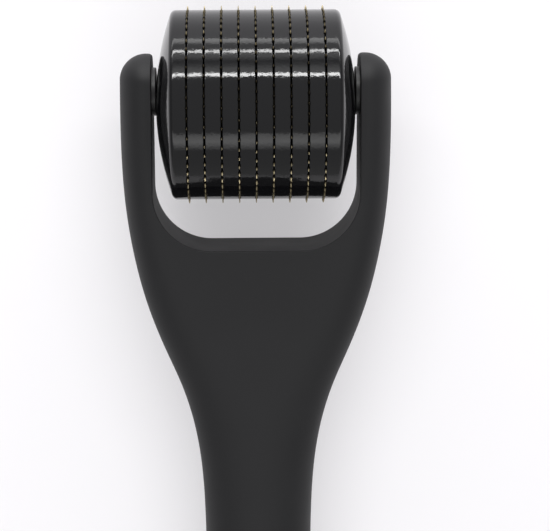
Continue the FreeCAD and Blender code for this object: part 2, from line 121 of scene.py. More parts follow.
class HandleProperties(bpy.types.PropertyGroup):
    """Sizes and finish of the two handle shells."""

    gap_half: length_property("Half gap", "Half the gap between the arms", 12.02 * MM)
    gap_floor: length_property("Gap floor", "From the axle to the bottom of the gap", 16.6 * MM)
    gap_corner: length_property("Gap corner", "Corner radius at the bottom of the gap", 6.8 * MM)
    edge_radius: length_property("Edge radius", "Rounding of the gap's edges", 0.12 * MM)
    tip_reach: length_property("Tip reach", "From the axle to the tips of the arms", 6.0 * MM)
    tip_outer: length_property("Outer tip radius", "Outer corner of an arm's tip", 3.0 * MM)
    tip_inner: length_property("Inner tip radius", "Inner corner of an arm's tip", 0.6 * MM)
    seam: length_property("Seam", "Width and depth of the parting line on each shell", 0.07 * MM)
    collar_rim: length_property("Collar rim", "Rounding of a bush collar's edge", 0.1 * MM)
    collar_gap: length_property("Collar gap", "Between a collar and the drum's hub face", 0.03 * MM)
    collar_sink: length_property("Collar sink", "How far a collar goes into the arm", 0.02 * MM)
    collar_bore: length_property("Collar bore gap", "Between the shaft and a collar's bore", 0.05 * MM)
    tail_length: length_property("Tail length", "Length of the rounded tail", 11.0 * MM)
    mark_depth: length_property("Sink depth", "Depth of the sink marks over the yoke posts", 0.035 * MM)
    colour: colour_property("Colour", "Soft-touch coat", (0.0086, 0.0086, 0.0096))
    roughness: share_property("Roughness", "Roughness of the soft-touch coat", 0.58)
    bush_colour: colour_property("Bush colour", "Plastic of the bush collars", (0.016, 0.016, 0.017))


class DrumProperties(bpy.types.PropertyGroup):
    """Sizes and finish of the drum's pieces."""

    ring_edge: length_property("Ring edge", "Rounding of a barrel ring's edges", 0.11 * MM)
    dome_radius: length_property("Dome radius", "Sphere radius of the end caps", 32.0 * MM)
    dome_rim: length_property("Dome rim", "Rounding where a dome meets the barrel", 0.7 * MM)
    hub_radius: length_property("Hub radius", "Flat hub face of an end cap", 2.5 * MM)
    needles: bpy.props.IntProperty(name="Needles", description="Needles on one disc", default=60, min=3)
    needle_width: length_property("Needle width", "Width of a needle at its root", 0.45 * MM)
    sheet: length_property("Sheet", "Thickness of a needle disc", 0.15 * MM)
    groove: length_property("Groove", "How far a disc's rim lies below the barrel", 1.2 * MM)
    core_radius: length_property("Core radius", "Radius of the core tube", 7.0 * MM)
    core_gap: length_property("Core gap", "Between the core and what slides on it", 0.05 * MM)
    shaft_chamfer: length_property("Shaft chamfer", "Chamfer of the shaft's ends", 0.2 * MM)
    cap_depth: length_property("Cap depth", "Depth of the hollow in an end cap's inner face", 2.0 * MM)
    colour: colour_property("Plastic", "Gloss black plastic", (0.0042, 0.0042, 0.005))
    gold: colour_property("Gold", "Titanium nitride coat of the needles", (0.20, 0.168, 0.105))
    gloss: share_property("Gloss roughness", "Roughness of the gloss plastic", 0.07)
    steel: colour_property("Steel", "Ground steel of the shaft", (0.56, 0.56, 0.57))
    core_colour: colour_property("Core colour", "Plastic of the core tube", (0.03, 0.03, 0.03))


class StageProperties(bpy.types.PropertyGroup):
    """Table, lights and camera."""

    table_colour: colour_property("Table", "Colour of the table", (0.470, 0.463, 0.475))
    table_glow: share_property("Table glow", "Light that comes up through the table", 0.89)
    left_wall: bpy.props.FloatProperty(name="Left wall", description="Radiance of the left wall",
                                       default=0.38, min=0)
    right_wall: bpy.props.FloatProperty(name="Right wall", description="Radiance of the right wall",
                                        default=0.42, min=0)
    near_strip: bpy.props.FloatProperty(name="Near strip", description="Radiance of the higher strip light",
                                        default=29.0, min=0)
    far_strip: bpy.props.FloatProperty(name="Far strip", description="Radiance of the lower strip light",
                                       default=20.0, min=0)
    lens: bpy.props.FloatProperty(name="Lens", description="Focal length in millimetres",
                                  default=129.14, min=1)


# Curves and meshes

def smooth_curve(knots, values, at):
    """Natural cubic spline: the second derivatives at the knots solve a tridiagonal system
    that makes the slope continuous, and are zero at both ends."""
    gaps = np.diff(knots)
    slopes = np.diff(values) / gaps
    count = len(knots)
    system = np.zeros((count, count))
    system[0, 0] = system[-1, -1] = 1
    inner = np.arange(1, count - 1)
    system[inner, inner - 1] = gaps[:-1]
    system[inner, inner] = 2 * (gaps[:-1] + gaps[1:])
    system[inner, inner + 1] = gaps[1:]
    right = np.zeros(count)
    right[1:-1] = 6 * np.diff(slopes)
    bend = np.linalg.solve(system, right)
    at = np.asarray(at, float)
    place = np.clip(np.searchsorted(knots, at) - 1, 0, count - 2)
    step = gaps[place]
    after = at - knots[place]
    before = knots[place + 1] - at
    return ((bend[place] * before ** 3 + bend[place + 1] * after ** 3) / (6 * step)
            + (values[place] / step - bend[place] * step / 6) * before
            + (values[place + 1] / step - bend[place + 1] * step / 6) * after)


def quarter_round(share):
    """Height of a quarter circle over its own width: sqrt(1 - (1 - share)^2), then level."""
    share = np.clip(share, 0, 1)
    return np.sqrt(1 - (1 - share) ** 2)


def smooth_step(low, high, value):
    """0 up to low, 1 from high on, and 3 s^2 - 2 s^3 for the share s of the way between."""
    share = np.clip((value - low) / (high - low), 0, 1)
    return share * share * (3 - 2 * share)


def grid_quads(rows, columns, wrap_rows=False, wrap_columns=False):
    """Corner numbers of the quads of a grid whose points are numbered row by row."""
    down = np.arange(rows if wrap_rows else rows - 1)
    over = np.arange(columns if wrap_columns else columns - 1)
    row, column = np.meshgrid(down, over, indexing="ij")
    next_row, next_column = (row + 1) % rows, (column + 1) % columns
    corners = (row * columns + column, row * columns + next_column,
               next_row * columns + next_column, next_row * columns + column)
    return np.stack(corners, -1).reshape(-1, 4)


class Patchwork:
    """Grids of points that are welded into one closed mesh along the edges they share."""

    def __init__(self):
        self.points = []
        self.quads = []
        self.count = 0

    def add(self, points, **wrap):
        rows, columns = points.shape[:2]
        self.points.append(points.reshape(-1, 3))
        self.quads.append(grid_quads(rows, columns, **wrap) + self.count)
        self.count += rows * columns

    def mirror_x(self):
        """Adds every patch again on the other side of x = 0."""
        self.quads += [quads[:, ::-1] + self.count for quads in self.quads]
        self.points += [points * (-1, 1, 1) for points in self.points]
        self.count *= 2

    def object(self, name, change=None):
        """The mesh object; change maps all its points at once, such as to the row frame."""
        points = np.concatenate(self.points)
        if change is not None:
            points = change(points)
        return mesh_object(name, points, np.concatenate(self.quads))


def mesh_object(name, points, quads, triangles=None, weld=0.0004 * MM, crease=math.radians(38)):
    """Puts arrays into a mesh, welds equal points, turns faces outwards and shades it smooth."""
    corners = quads.ravel()
    starts = np.arange(len(quads)) * 4
    if triangles is not None:
        starts = np.concatenate([starts, len(corners) + np.arange(len(triangles)) * 3])
        corners = np.concatenate([corners, triangles.ravel()])
    mesh = bpy.data.meshes.new(name)
    mesh.vertices.add(len(points))
    mesh.vertices.foreach_set("co", points.astype(np.float32).ravel())
    mesh.loops.add(len(corners))
    mesh.loops.foreach_set("vertex_index", corners.astype(np.int32))
    mesh.polygons.add(len(starts))
    mesh.polygons.foreach_set("loop_start", starts.astype(np.int32))
    mesh.update(calc_edges=True)
    work = bmesh.new()
    work.from_mesh(mesh)
    bmesh.ops.remove_doubles(work, verts=work.verts, dist=weld)
    bmesh.ops.dissolve_degenerate(work, edges=work.edges, dist=weld)
    bmesh.ops.recalc_face_normals(work, faces=work.faces)
    work.to_mesh(mesh)
    work.free()
    mesh.polygons.foreach_set("use_smooth", np.ones(len(mesh.polygons), bool))
    mesh.set_sharp_from_angle(angle=crease)
    made = bpy.data.objects.new(name, mesh)
    bpy.context.scene.collection.objects.link(made)
    return made


def turned_surface(profile, segments=360):
    """A profile of (along X, radius) pairs carried round the drum's axle: the point at turn a
    is (x, axle y - r sin a, axle z + r cos a)."""
    turns = np.arange(segments) / segments * math.tau
    along = np.broadcast_to(profile[:, 0], (segments, len(profile)))
    radius = profile[:, 1]
    return np.stack([along, AXLE[1] - np.outer(np.sin(turns), radius),
                     AXLE[2] + np.outer(np.cos(turns), radius)], -1)


# A point this far past each end of an arc, as a share of its radius, keeps the flat beside
# it flat when the faces are shaded smooth.
HOLD_SHARE = 0.25
EDGE_STEPS = 7


def arc(centre, radius, first, last, steps=EDGE_STEPS):
    """Points (along, radius) on a circle, from angle first to angle last."""
    angles = np.linspace(first, last, steps)
    return np.stack([centre[0] + radius * np.cos(angles), centre[1] + radius * np.sin(angles)], -1)


def rounded_band(low, high, radius, edge, bore):
    """Section of a ring, as (along, radius) pairs: bore, side, quarter circle, level rim,
    quarter circle, side."""
    hold = edge * HOLD_SHARE
    return np.concatenate([
        ((low, bore), (low, radius - edge - hold)),
        arc((low + edge, radius - edge), edge, math.pi, math.pi / 2),
        ((low + edge + hold, radius), (high - edge - hold, radius)),
        arc((high - edge, radius - edge), edge, math.pi / 2, 0),
        ((high, radius - edge - hold), (high, bore))])


def finish_piece(piece, body, material, nodes):
    """Gives a piece its material and its CAD body, and hides the CAD nodes it shows."""
    piece.data.materials.append(material)
    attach(piece, body)
    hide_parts(*nodes)


# Materials

def new_material(name):
    """A material with an empty tree, its Principled shader and its Object coordinates."""
    material = bpy.data.materials.new(name)
    material.use_nodes = True
    tree = material.node_tree
    tree.nodes.clear()
    output = tree.nodes.new("ShaderNodeOutputMaterial")
    shader = tree.nodes.new("ShaderNodeBsdfPrincipled")
    tree.links.new(shader.outputs["BSDF"], output.inputs["Surface"])
    place = tree.nodes.new("ShaderNodeTexCoord").outputs["Object"]
    return material, tree, shader, place


def add_noise(tree, place, size, detail=2.0, roughness=0.5):
    """Noise whose largest features are about size across."""
    noise = tree.nodes.new("ShaderNodeTexNoise")
    noise.inputs["Scale"].default_value = 1 / size
    noise.inputs["Detail"].default_value = detail
    noise.inputs["Roughness"].default_value = roughness
    tree.links.new(place, noise.inputs["Vector"])
    return noise.outputs["Fac"]


def add_range(tree, value, low, high, socket, from_low=0.3, from_high=0.7):
    """Stretches a texture's value to a range and puts it into a socket."""
    stretch = tree.nodes.new("ShaderNodeMapRange")
    stretch.inputs["From Min"].default_value = from_low
    stretch.inputs["From Max"].default_value = from_high
    stretch.inputs["To Min"].default_value = low
    stretch.inputs["To Max"].default_value = high
    tree.links.new(value, stretch.inputs["Value"])
    tree.links.new(stretch.outputs["Result"], socket)


def add_bump(tree, height, socket=None, strength=0.5, distance=0.01 * MM, under=None):
    """Bump of a texture's value, distance high, over the bump under it; gives its normal."""
    bump = tree.nodes.new("ShaderNodeBump")
    bump.inputs["Distance"].default_value = distance
    bump.inputs["Strength"].default_value = strength
    tree.links.new(height, bump.inputs["Height"])
    if under is not None:
        tree.links.new(under, bump.inputs["Normal"])
    if socket is not None:
        tree.links.new(bump.outputs["Normal"], socket)
    return bump.outputs["Normal"]


def add_colour_mix(tree, value, first, second, socket, from_low=0.3, from_high=0.7):
    """Colour between two colours by a texture's value."""
    ramp = tree.nodes.new("ShaderNodeValToRGB")
    ramp.color_ramp.elements[0].position = from_low
    ramp.color_ramp.elements[0].color = (*first, 1)
    ramp.color_ramp.elements[1].position = from_high
    ramp.color_ramp.elements[1].color = (*second, 1)
    tree.links.new(value, ramp.inputs["Fac"])
    tree.links.new(ramp.outputs["Color"], socket)


def scaled(colour, factor):
    """A colour made darker or lighter by a factor."""
    return tuple(channel * factor for channel in colour)


def add_vector_math(tree, operation, vector, other=None):
    """A vector node; other, where the operation needs it, is a constant."""
    node = tree.nodes.new("ShaderNodeVectorMath")
    node.operation = operation
    tree.links.new(vector, node.inputs[0])
    if other is not None:
        node.inputs[1].default_value = tuple(other)
    return node.outputs


def soft_touch_material(settings):
    """Matt soft-touch coat: fine even grain, faint cloudiness from handling."""
    material, tree, shader, place = new_material("soft_touch_coat")
    grain = add_noise(tree, place, size=0.16 * MM, detail=3)
    cloud = add_noise(tree, place, size=5 * MM, detail=4)
    add_colour_mix(tree, cloud, scaled(settings.colour, 0.94), scaled(settings.colour, 1.06),
                   shader.inputs["Base Color"])
    add_range(tree, cloud, settings.roughness - 0.03, settings.roughness + 0.03,
              shader.inputs["Roughness"])
    add_bump(tree, grain, shader.inputs["Normal"], strength=0.5, distance=0.012 * MM)
    shader.inputs["Specular IOR Level"].default_value = 0.31
    return material


def gloss_material(settings):
    """Polished black plastic: long shallow waves and a little moulding ripple."""
    material, tree, shader, place = new_material("polished_plastic")
    shader.inputs["Base Color"].default_value = (*settings.colour, 1)
    shader.inputs["IOR"].default_value = 1.4
    wave = add_noise(tree, place, size=2.2 * MM, detail=1)
    ripple = add_noise(tree, place, size=0.35 * MM, detail=2)
    haze = add_noise(tree, place, size=3 * MM, detail=3)
    add_range(tree, haze, settings.gloss * 0.7, settings.gloss * 1.3, shader.inputs["Roughness"])
    waves = add_bump(tree, wave, strength=1, distance=0.012 * MM)
    add_bump(tree, ripple, shader.inputs["Normal"], strength=1, distance=0.007 * MM, under=waves)
    return material


def gold_material(settings):
    """Titanium nitride on stamped steel: gold at the needles' points, and darkened towards
    their roots by the distance from the drum's axle, as painted shade for the groove between the rings."""
    # Painted shade: in the groove below the barrel the gold is darkened to this share, and it fades back to full
    # gold this height above the barrel.
    root_painted_shade = 0.1
    gold_height = 0.33 * MM
    blotchiness = 0.5
    material, tree, shader, place = new_material("nitride_gold")
    offset = add_vector_math(tree, "SUBTRACT", place, AXLE)["Vector"]
    flat = add_vector_math(tree, "MULTIPLY", offset, (0, 1, 1))["Vector"]
    radius = add_vector_math(tree, "LENGTH", flat)["Value"]
    # Share from dark to gold: painted shade by the radius, plus random blotches of noise.
    painted_shade_and_blotch = tree.nodes.new("ShaderNodeMath")
    painted_shade_and_blotch.operation = "MULTIPLY_ADD"
    painted_shade_and_blotch.inputs[1].default_value = blotchiness
    tree.links.new(add_noise(tree, place, size=0.7 * MM, detail=2), painted_shade_and_blotch.inputs[0])
    add_range(tree, radius, 0, 1, painted_shade_and_blotch.inputs[2], BARREL_RADIUS, BARREL_RADIUS + gold_height)
    add_colour_mix(tree, painted_shade_and_blotch.outputs["Value"], scaled(settings.gold, root_painted_shade), settings.gold,
                   shader.inputs["Base Color"], from_low=0.35, from_high=1)
    shader.inputs["Metallic"].default_value = 1
    grain = add_noise(tree, place, size=0.05 * MM, detail=2)
    add_range(tree, grain, 0.26, 0.42, shader.inputs["Roughness"])
    add_bump(tree, grain, shader.inputs["Normal"], strength=0.5, distance=0.002 * MM)
    return material


def steel_material(settings):
    """Ground steel, its scratches running round the shaft."""
    material, tree, shader, place = new_material("ground_steel")
    shader.inputs["Base Color"].default_value = (*settings.steel, 1)
    shader.inputs["Metallic"].default_value = 1
    squeeze = tree.nodes.new("ShaderNodeMapping")
    squeeze.inputs["Scale"].default_value = (12, 1, 1)
    tree.links.new(place, squeeze.inputs["Vector"])
    scratch = add_noise(tree, squeeze.outputs["Vector"], size=0.4 * MM, detail=3)
    add_range(tree, scratch, 0.18, 0.34, shader.inputs["Roughness"])
    add_bump(tree, scratch, shader.inputs["Normal"], strength=0.6, distance=0.002 * MM)
    return material


def moulded_material(name, colour, roughness):
    """Plain moulded plastic with a fine spark-eroded texture."""
    material, tree, shader, place = new_material(name)
    grain = add_noise(tree, place, size=0.12 * MM, detail=3)
    add_colour_mix(tree, grain, scaled(colour, 0.9), scaled(colour, 1.1), shader.inputs["Base Color"])
    add_range(tree, grain, roughness - 0.05, roughness + 0.05, shader.inputs["Roughness"])
    add_bump(tree, grain, shader.inputs["Normal"], strength=0.6, distance=0.006 * MM)
    return material


# Handle shells

# Along the handle: y, half width, depth in front of and behind the parting plane, and
# how far in from the outline the shoulder's rounding reaches. All in millimetres.
HANDLE_STATIONS = np.array((
    (-134.0, 5.9, 5.1, 4.6, 9.0),
    (-116.0, 7.25, 6.1, 5.7, 9.0),
    (-102.0, 7.7, 6.5, 6.7, 9.0),
    (-87.0, 7.45, 6.65, 7.4, 9.0),
    (-72.0, 6.8, 6.4, 7.8, 9.0),
    (-60.0, 6.35, 5.9, 7.4, 9.0),
    (-50.2, 6.40, 5.5, 6.6, 9.0),
    (-42.5, 6.91, 5.05, 5.85, 8.6),
    (-36.9, 8.01, 4.75, 5.3, 7.6),
    (-33.1, 9.28, 4.58, 4.95, 6.9),
    (-29.4, 10.86, 4.45, 4.70, 6.2),
    (-23.85, 12.95, 4.30, 4.42, 5.2),
    (-18.4, 14.35, 4.22, 4.28, 4.3),
    (-12.0, 15.35, 4.2, 4.2, 3.5),
    (-5.0, 15.76, 4.2, 4.2, 3.2),
    (0.0, 15.8, 4.2, 4.2, 3.2),
    (7.0, 15.7, 4.1, 4.1, 3.0),
)) * MM
HANDLE_END = -127.5 * MM
TAIL_POWER = 2.3
CROWN = 0.035

# The pair of posts in the yoke, at this x on either side, and their sink marks: fully sunk
# inside the first radius, and level again at the second.
YOKE_POST = np.array((5.4, -20.7)) * MM
MARK_INSIDE, MARK_OUTSIDE = 1.6 * MM, 2.2 * MM

# The grid of a shell: how far apart its rows are, the extra row that keeps the face flat
# behind the gap, and its points over each round stretch.
ROW_STEP = 0.45 * MM
HOLD_STEP = 0.03 * MM
TIP_STEPS, CORNER_STEPS, TAIL_STEPS = 22, 34, 30
SHOULDER_STEPS, MIDDLE_STEPS = 42, 16
WALL_LEVELS = (1, 0.985, 0.75, 0.5, 0.25, 0)
EDGE_HOLD = math.radians(2)


def station_value(column, along):
    """One column of the stations, as a smooth curve along the handle."""
    return smooth_curve(HANDLE_STATIONS[:, 0], HANDLE_STATIONS[:, column], along)


def tail_share(settings, along):
    """1 along the handle, then down to 0 at the tail as a superellipse of TAIL_POWER."""
    start = HANDLE_END + settings.tail_length
    share = np.clip((start - along) / settings.tail_length, 0, 1)
    return (1 - share ** TAIL_POWER) ** (1 / TAIL_POWER)


def outline_half(settings, along):
    """Half width of the outline: the spline of the stations, with the tips' corner circle
    at one end and the rounded tail at the other."""
    half = station_value(1, along) * tail_share(settings, along)
    above = np.clip(along - (settings.tip_reach - settings.tip_outer), 0, settings.tip_outer)
    return half - settings.tip_outer + np.sqrt(settings.tip_outer ** 2 - above ** 2)


def edge_distance(settings, across, along):
    """Distance in from the outline: that of a corner of radius tip_outer between the side
    and the tip, with the side's distance measured square to the flaring outline."""
    nudge = 0.05 * MM
    slope = (station_value(1, along + nudge) - station_value(1, along - nudge)) / (2 * nudge)
    half = station_value(1, along) * tail_share(settings, along)
    corner = settings.tip_outer
    to_side = corner - (half - np.abs(across)) / np.sqrt(1 + slope ** 2)
    to_tip = along - (settings.tip_reach - corner)
    outside = np.hypot(np.maximum(to_side, 0), np.maximum(to_tip, 0))
    return corner - outside - np.minimum(np.maximum(to_side, to_tip), 0)


def shell_height(settings, column, across, along):
    """Height over the parting plane: the depth at this station, times a quarter circle over
    the shoulder, times a low crown across the flat, less the sink marks over the posts."""
    tail = tail_share(settings, along)
    half = np.maximum(station_value(1, along) * tail, 1e-6)
    reach = np.minimum(station_value(4, along), half)
    depth = station_value(column, along) * tail
    crown = 1 + CROWN * (1 - np.clip(np.abs(across) / half, 0, 1) ** 2)
    height = depth * crown / (1 + CROWN) * quarter_round(edge_distance(settings, across, along) / reach)
    away = np.hypot(np.abs(across) - YOKE_POST[0], along - YOKE_POST[1])
    height = height - settings.mark_depth * (1 - smooth_step(MARK_INSIDE, MARK_OUTSIDE, away))
    return np.maximum(height, settings.seam)


def fork_rows(settings):
    """The gap's wall in plan, one point for each row of the arm's grid, and the direction
    into the plastic there. The rows are close together where the tip and the corner are round."""
    reach, outer, inner = settings.tip_reach, settings.tip_outer, settings.tip_inner
    half, corner = settings.gap_half, settings.gap_corner
    corner_centre = np.array((half - corner, corner - settings.gap_floor))
    turn = np.linspace(0, math.pi / 2, TIP_STEPS)
    tip_rows = reach - outer * (1 - np.cos(turn))[:-1]
    arm_rows = np.arange(reach - outer, corner_centre[1], -ROW_STEP)
    rows = np.concatenate([tip_rows, arm_rows])
    above = np.clip(rows - (reach - inner), 0, inner)
    wall = np.stack([half + inner - np.sqrt(inner ** 2 - above ** 2), rows], -1)
    sideways = np.tile((1.0, 0.0), (len(rows), 1))
    bend = np.linspace(0, math.pi / 2, CORNER_STEPS)
    round_corner = np.stack([np.cos(bend), -np.sin(bend)], -1)
    wall = np.concatenate([wall, corner_centre + corner * round_corner])
    return wall, np.concatenate([sideways, round_corner])


def ruled(first, last, shares):
    """Plan points on the straight line between two rows of points, at the given shares."""
    return first[:, None] + (last - first)[:, None] * shares[None, :, None]


def with_height(plan, height):
    """Plan points with their height added as z."""
    return np.concatenate([plan, np.broadcast_to(height, plan.shape[:2])[..., None]], -1)


def make_shell(settings, name, side, column):
    """One half of the handle as a closed surface.

    The face is a grid of rows across the handle. On the fork its rows run from the outline
    to the gap; behind the gap they run on to the middle. Its height is shell_height. The
    gap's edge is a quarter circle, its wall is upright, and the parting face closes it.
    side is 1 for the front half and -1 for the rear, and column is its depth's in the stations.
    """
    wall, away = fork_rows(settings)
    edge_height = shell_height(settings, column, wall[:, 0], wall[:, 1])
    rounding = np.minimum(settings.edge_radius, edge_height / 2)
    face_edge = wall + away * rounding[:, None]
    fork_y = face_edge[:, 1]
    fork_outer = np.stack([outline_half(settings, fork_y), fork_y], -1)
    fork_outer[:, 0] = np.maximum(fork_outer[:, 0], face_edge[:, 0])

    tail_turn = np.linspace(0, math.pi / 2, TAIL_STEPS)
    tail_start = HANDLE_END + settings.tail_length
    body_y = np.concatenate([fork_y[-1:], np.arange(fork_y[-1] - HOLD_STEP, tail_start, -ROW_STEP),
                             tail_start - settings.tail_length * np.sin(tail_turn)])
    outer_half = outline_half(settings, body_y)
    body_outer = np.stack([outer_half, body_y], -1)
    share = face_edge[-1, 0] / outer_half[0]
    body_inner = np.stack([outer_half * share, body_y], -1)
    middle = body_inner * (0, 1)

    shoulder = (1 - np.cos(np.linspace(0, math.pi, SHOULDER_STEPS))) / 2
    level = np.linspace(0, 1, MIDDLE_STEPS)
    outer = np.concatenate([fork_outer, body_outer[1:]])
    inner = np.concatenate([face_edge, body_inner[1:]])
    arm_plan = ruled(outer, inner, shoulder)
    middle_plan = ruled(body_inner, middle, level)

    def face(plan):
        return with_height(plan, shell_height(settings, column, plan[..., 0], plan[..., 1]))

    work = Patchwork()
    arm_face = face(arm_plan)
    middle_face = face(middle_plan)
    work.add(arm_face)
    work.add(middle_face)

    flat_wall = np.stack([middle_plan[0, :, 0], np.full(len(level), wall[-1, 1])], -1)
    top = np.concatenate([arm_face[:len(wall), -1], middle_face[0, 1:]])
    base = np.concatenate([wall, flat_wall[1:]])
    edge = np.concatenate([(0,), np.linspace(EDGE_HOLD, math.pi / 2, EDGE_STEPS)])
    inset = np.linalg.norm(top[:, :2] - base, axis=1)
    plan = base[:, None] + (top[:, :2] - base)[:, None] * (1 - np.sin(edge))[None, :, None]
    drop = top[:, 2][:, None] - inset[:, None] * (1 - np.cos(edge))[None]
    rounded = np.concatenate([plan, drop[..., None]], -1)
    down = np.array(WALL_LEVELS)[None, :, None]
    foot = np.concatenate([base, np.zeros((len(base), 1))], -1)
    upright = foot[:, None] + (rounded[:, -1] - foot)[:, None] * down
    work.add(rounded)
    work.add(upright)

    seam_outer = outer.copy()
    seam_outer[:, 0] -= np.minimum(settings.seam, (outer[:, 0] - inner[:, 0]) / 2)
    part_inner = np.concatenate([wall, body_inner[1:]])
    arm_part = with_height(ruled(seam_outer, part_inner, shoulder), 0)
    part_middle = middle_plan.copy()
    part_middle[0, :, 1] = wall[-1, 1]
    work.add(arm_part)
    work.add(with_height(part_middle, 0))
    work.add(np.stack([arm_face[:, 0], arm_part[:, 0]], 1))
    work.add(np.stack([arm_face[0], arm_part[0]], 1))
    tip_edge = np.concatenate([rounded[0], upright[0, 1:]])
    on_face = np.arange(len(tip_edge))[:, None] < len(edge)
    work.add(np.stack([tip_edge, np.where(on_face, arm_face[0, -1], arm_part[0, -1])], 1))
    work.mirror_x()

    def place(points):
        points = handle_to_row(points * (1, 1, side))
        points[:, 2] = np.maximum(points[:, 2], 0)
        return points

    return work.object(name, place)


class ROLLER_OT_handle(bpy.types.Operator):
    """Make the two matt black handle shells"""

    bl_idname = "roller.handle"
    bl_label = "Handle shells"

    def execute(self, context):
        settings = context.scene.roller_handle
        material = soft_touch_material(settings)
        for name, node, side, column in (("front_cover", "front_shell", 1, 2),
                                         ("rear_cover", "rear_shell", -1, 3)):
            shell = make_shell(settings, name, side, column)
            finish_piece(shell, "handle", material, [node])
        return {"FINISHED"}


class ROLLER_OT_collars(bpy.types.Operator):
    """Make the round bush collars on the inner faces of the arms"""

    bl_idname = "roller.collars"
    bl_label = "Bush collars"

    def execute(self, context):
        settings = context.scene.roller_handle
        material = moulded_material("bush_plastic", settings.bush_colour, 0.4)
        low, high = node_box("right_bush")
        radius = (high[2] - low[2]) / 2
        offset = high[1] - radius - AXLE[1]
        bore = SHAFT_RADIUS + settings.collar_bore
        rim = settings.collar_rim
        outside = settings.gap_half + settings.collar_sink
        turns = np.arange(72) / 72 * math.tau
        circle = np.stack([np.cos(turns), np.sin(turns)], -1)

        def ring(along, size, centre):
            plan = circle * size + (centre, 0)
            return np.concatenate([np.full((len(plan), 1), along), plan], -1)

        bend = np.linspace(0, math.pi / 2, 5)
        inside = HUB_FACE + settings.collar_gap
        rings = [ring(inside, bore, 0), ring(inside, radius - rim, offset)]
        rings += [ring(inside + rim * (1 - math.cos(angle)), radius - rim * (1 - math.sin(angle)),
                       offset) for angle in bend[1:]]
        rings += [ring(outside, radius, offset), ring(outside, bore, 0)]
        for name, node, side in (("right_collar", "right_bush", 1), ("left_collar", "left_bush", -1)):
            work = Patchwork()
            work.add(np.stack(rings) * (side, 1, 1), wrap_rows=True, wrap_columns=True)
            collar = work.object(name, handle_to_row)
            finish_piece(collar, "handle", material, [node])
        return {"FINISHED"}


class ROLLER_OT_rings(bpy.types.Operator):
    """Make the gloss black rings of the barrel"""

    bl_idname = "roller.rings"
    bl_label = "Barrel rings"

    def execute(self, context):
        settings = context.scene.roller_drum
        material = gloss_material(settings)
        bore = settings.core_radius + settings.core_gap
        for number, node in enumerate(RINGS, start=1):
            low, high = node_box(node)
            profile = rounded_band(low[0], high[0], BARREL_RADIUS, settings.ring_edge, bore)
            work = Patchwork()
            work.add(turned_surface(profile), wrap_rows=True, wrap_columns=True)
            finish_piece(work.object("barrel_ring_%d" % number), "roller", material, [node])
        return {"FINISHED"}


class ROLLER_OT_domes(bpy.types.Operator):
    """Make the domed end caps of the drum"""

    bl_idname = "roller.domes"
    bl_label = "End caps"

    def execute(self, context):
        settings = context.scene.roller_drum
        material = bpy.data.materials.get("polished_plastic") or gloss_material(settings)
        edge, rim, dome = settings.ring_edge, settings.dome_rim, settings.dome_radius
        dome_centre = HUB_FACE - math.sqrt(dome ** 2 - settings.hub_radius ** 2)
        rim_line = BARREL_RADIUS - rim
        reach = dome - rim
        rim_along = dome_centre + math.sqrt(reach ** 2 - rim_line ** 2)
        meet = math.atan2(rim_line, rim_along - dome_centre)
        hub = math.asin(settings.hub_radius / dome)
        hold = edge * HOLD_SHARE
        profile = np.concatenate([
            ((CAP_INSIDE, settings.core_radius), (CAP_INSIDE, BARREL_RADIUS - edge - hold)),
            arc((CAP_INSIDE + edge, BARREL_RADIUS - edge), edge, math.pi, math.pi / 2),
            ((CAP_INSIDE + edge + hold, BARREL_RADIUS), (rim_along - hold, BARREL_RADIUS)),
            arc((rim_along, rim_line), rim, math.pi / 2, meet, steps=14),
            arc((dome_centre, 0), dome, meet, hub, steps=24)[1:],
            ((HUB_FACE, SHAFT_RADIUS), (CAP_INSIDE + settings.cap_depth, SHAFT_RADIUS))])
        for name, node, side in (("right_dome", "right_end_cap", 1), ("left_dome", "left_end_cap", -1)):
            work = Patchwork()
            work.add(turned_surface(profile) * (side, 1, 1), wrap_rows=True, wrap_columns=True)
            finish_piece(work.object(name), "roller", material, [node])
        return {"FINISHED"}


# A needle's sections above its root: height over the barrel, and share of the sheet's
# thickness. The root goes this far into the disc's rim.
NEEDLE_HEIGHTS = np.array((-0.06, 0.22, 0.38)) * MM
NEEDLE_THICKNESS = (1.0, 0.85, 0.6)
ROOT_SINK = 0.2 * MM


def needle_points(settings, middle, first_turn):
    """Points, quads and triangles of the blades round a disc: each is a strip of the sheet
    up to the barrel's surface, then narrows evenly in width, and later in thickness, to a
    point. middle is the disc's place along the axle."""
    half, thin = settings.needle_width / 2, settings.sheet / 2
    section = np.array(((thin, half), (-thin, half), (-thin, -half), (thin, -half)))
    heights = BARREL_RADIUS + np.concatenate([(-settings.groove - ROOT_SINK,), NEEDLE_HEIGHTS])
    widths = np.clip((TIP_RADIUS - heights) / (TIP_RADIUS - heights[1]), 0, 1)
    thickness = np.array((1.0, *NEEDLE_THICKNESS))
    levels = np.stack([np.outer(thickness, section[:, 0]), np.outer(widths, section[:, 1]),
                       np.outer(heights, np.ones(4))], -1).reshape(-1, 3)
    blade = np.concatenate([levels, ((0, 0, TIP_RADIUS),)])
    turns = first_turn + np.arange(settings.needles) / settings.needles * math.tau
    cos, sin = np.cos(turns)[:, None], np.sin(turns)[:, None]
    sideways, outwards = blade[None, :, 1], blade[None, :, 2]
    points = np.stack([np.broadcast_to(middle + blade[None, :, 0], (len(turns), len(blade))),
                       AXLE[1] - outwards * sin + sideways * cos,
                       AXLE[2] + outwards * cos + sideways * sin], -1)
    sides = grid_quads(len(heights), 4, wrap_columns=True)
    root = np.array(((0, 1, 2, 3),))
    last = len(levels) - 4
    tip = np.stack([last + np.arange(4), last + (np.arange(4) + 1) % 4, np.full(4, len(levels))], -1)
    starts = np.arange(len(turns))[:, None, None] * len(blade)
    return (points.reshape(-1, 3), (np.concatenate([sides, root])[None] + starts).reshape(-1, 4),
            (tip[None] + starts).reshape(-1, 3))


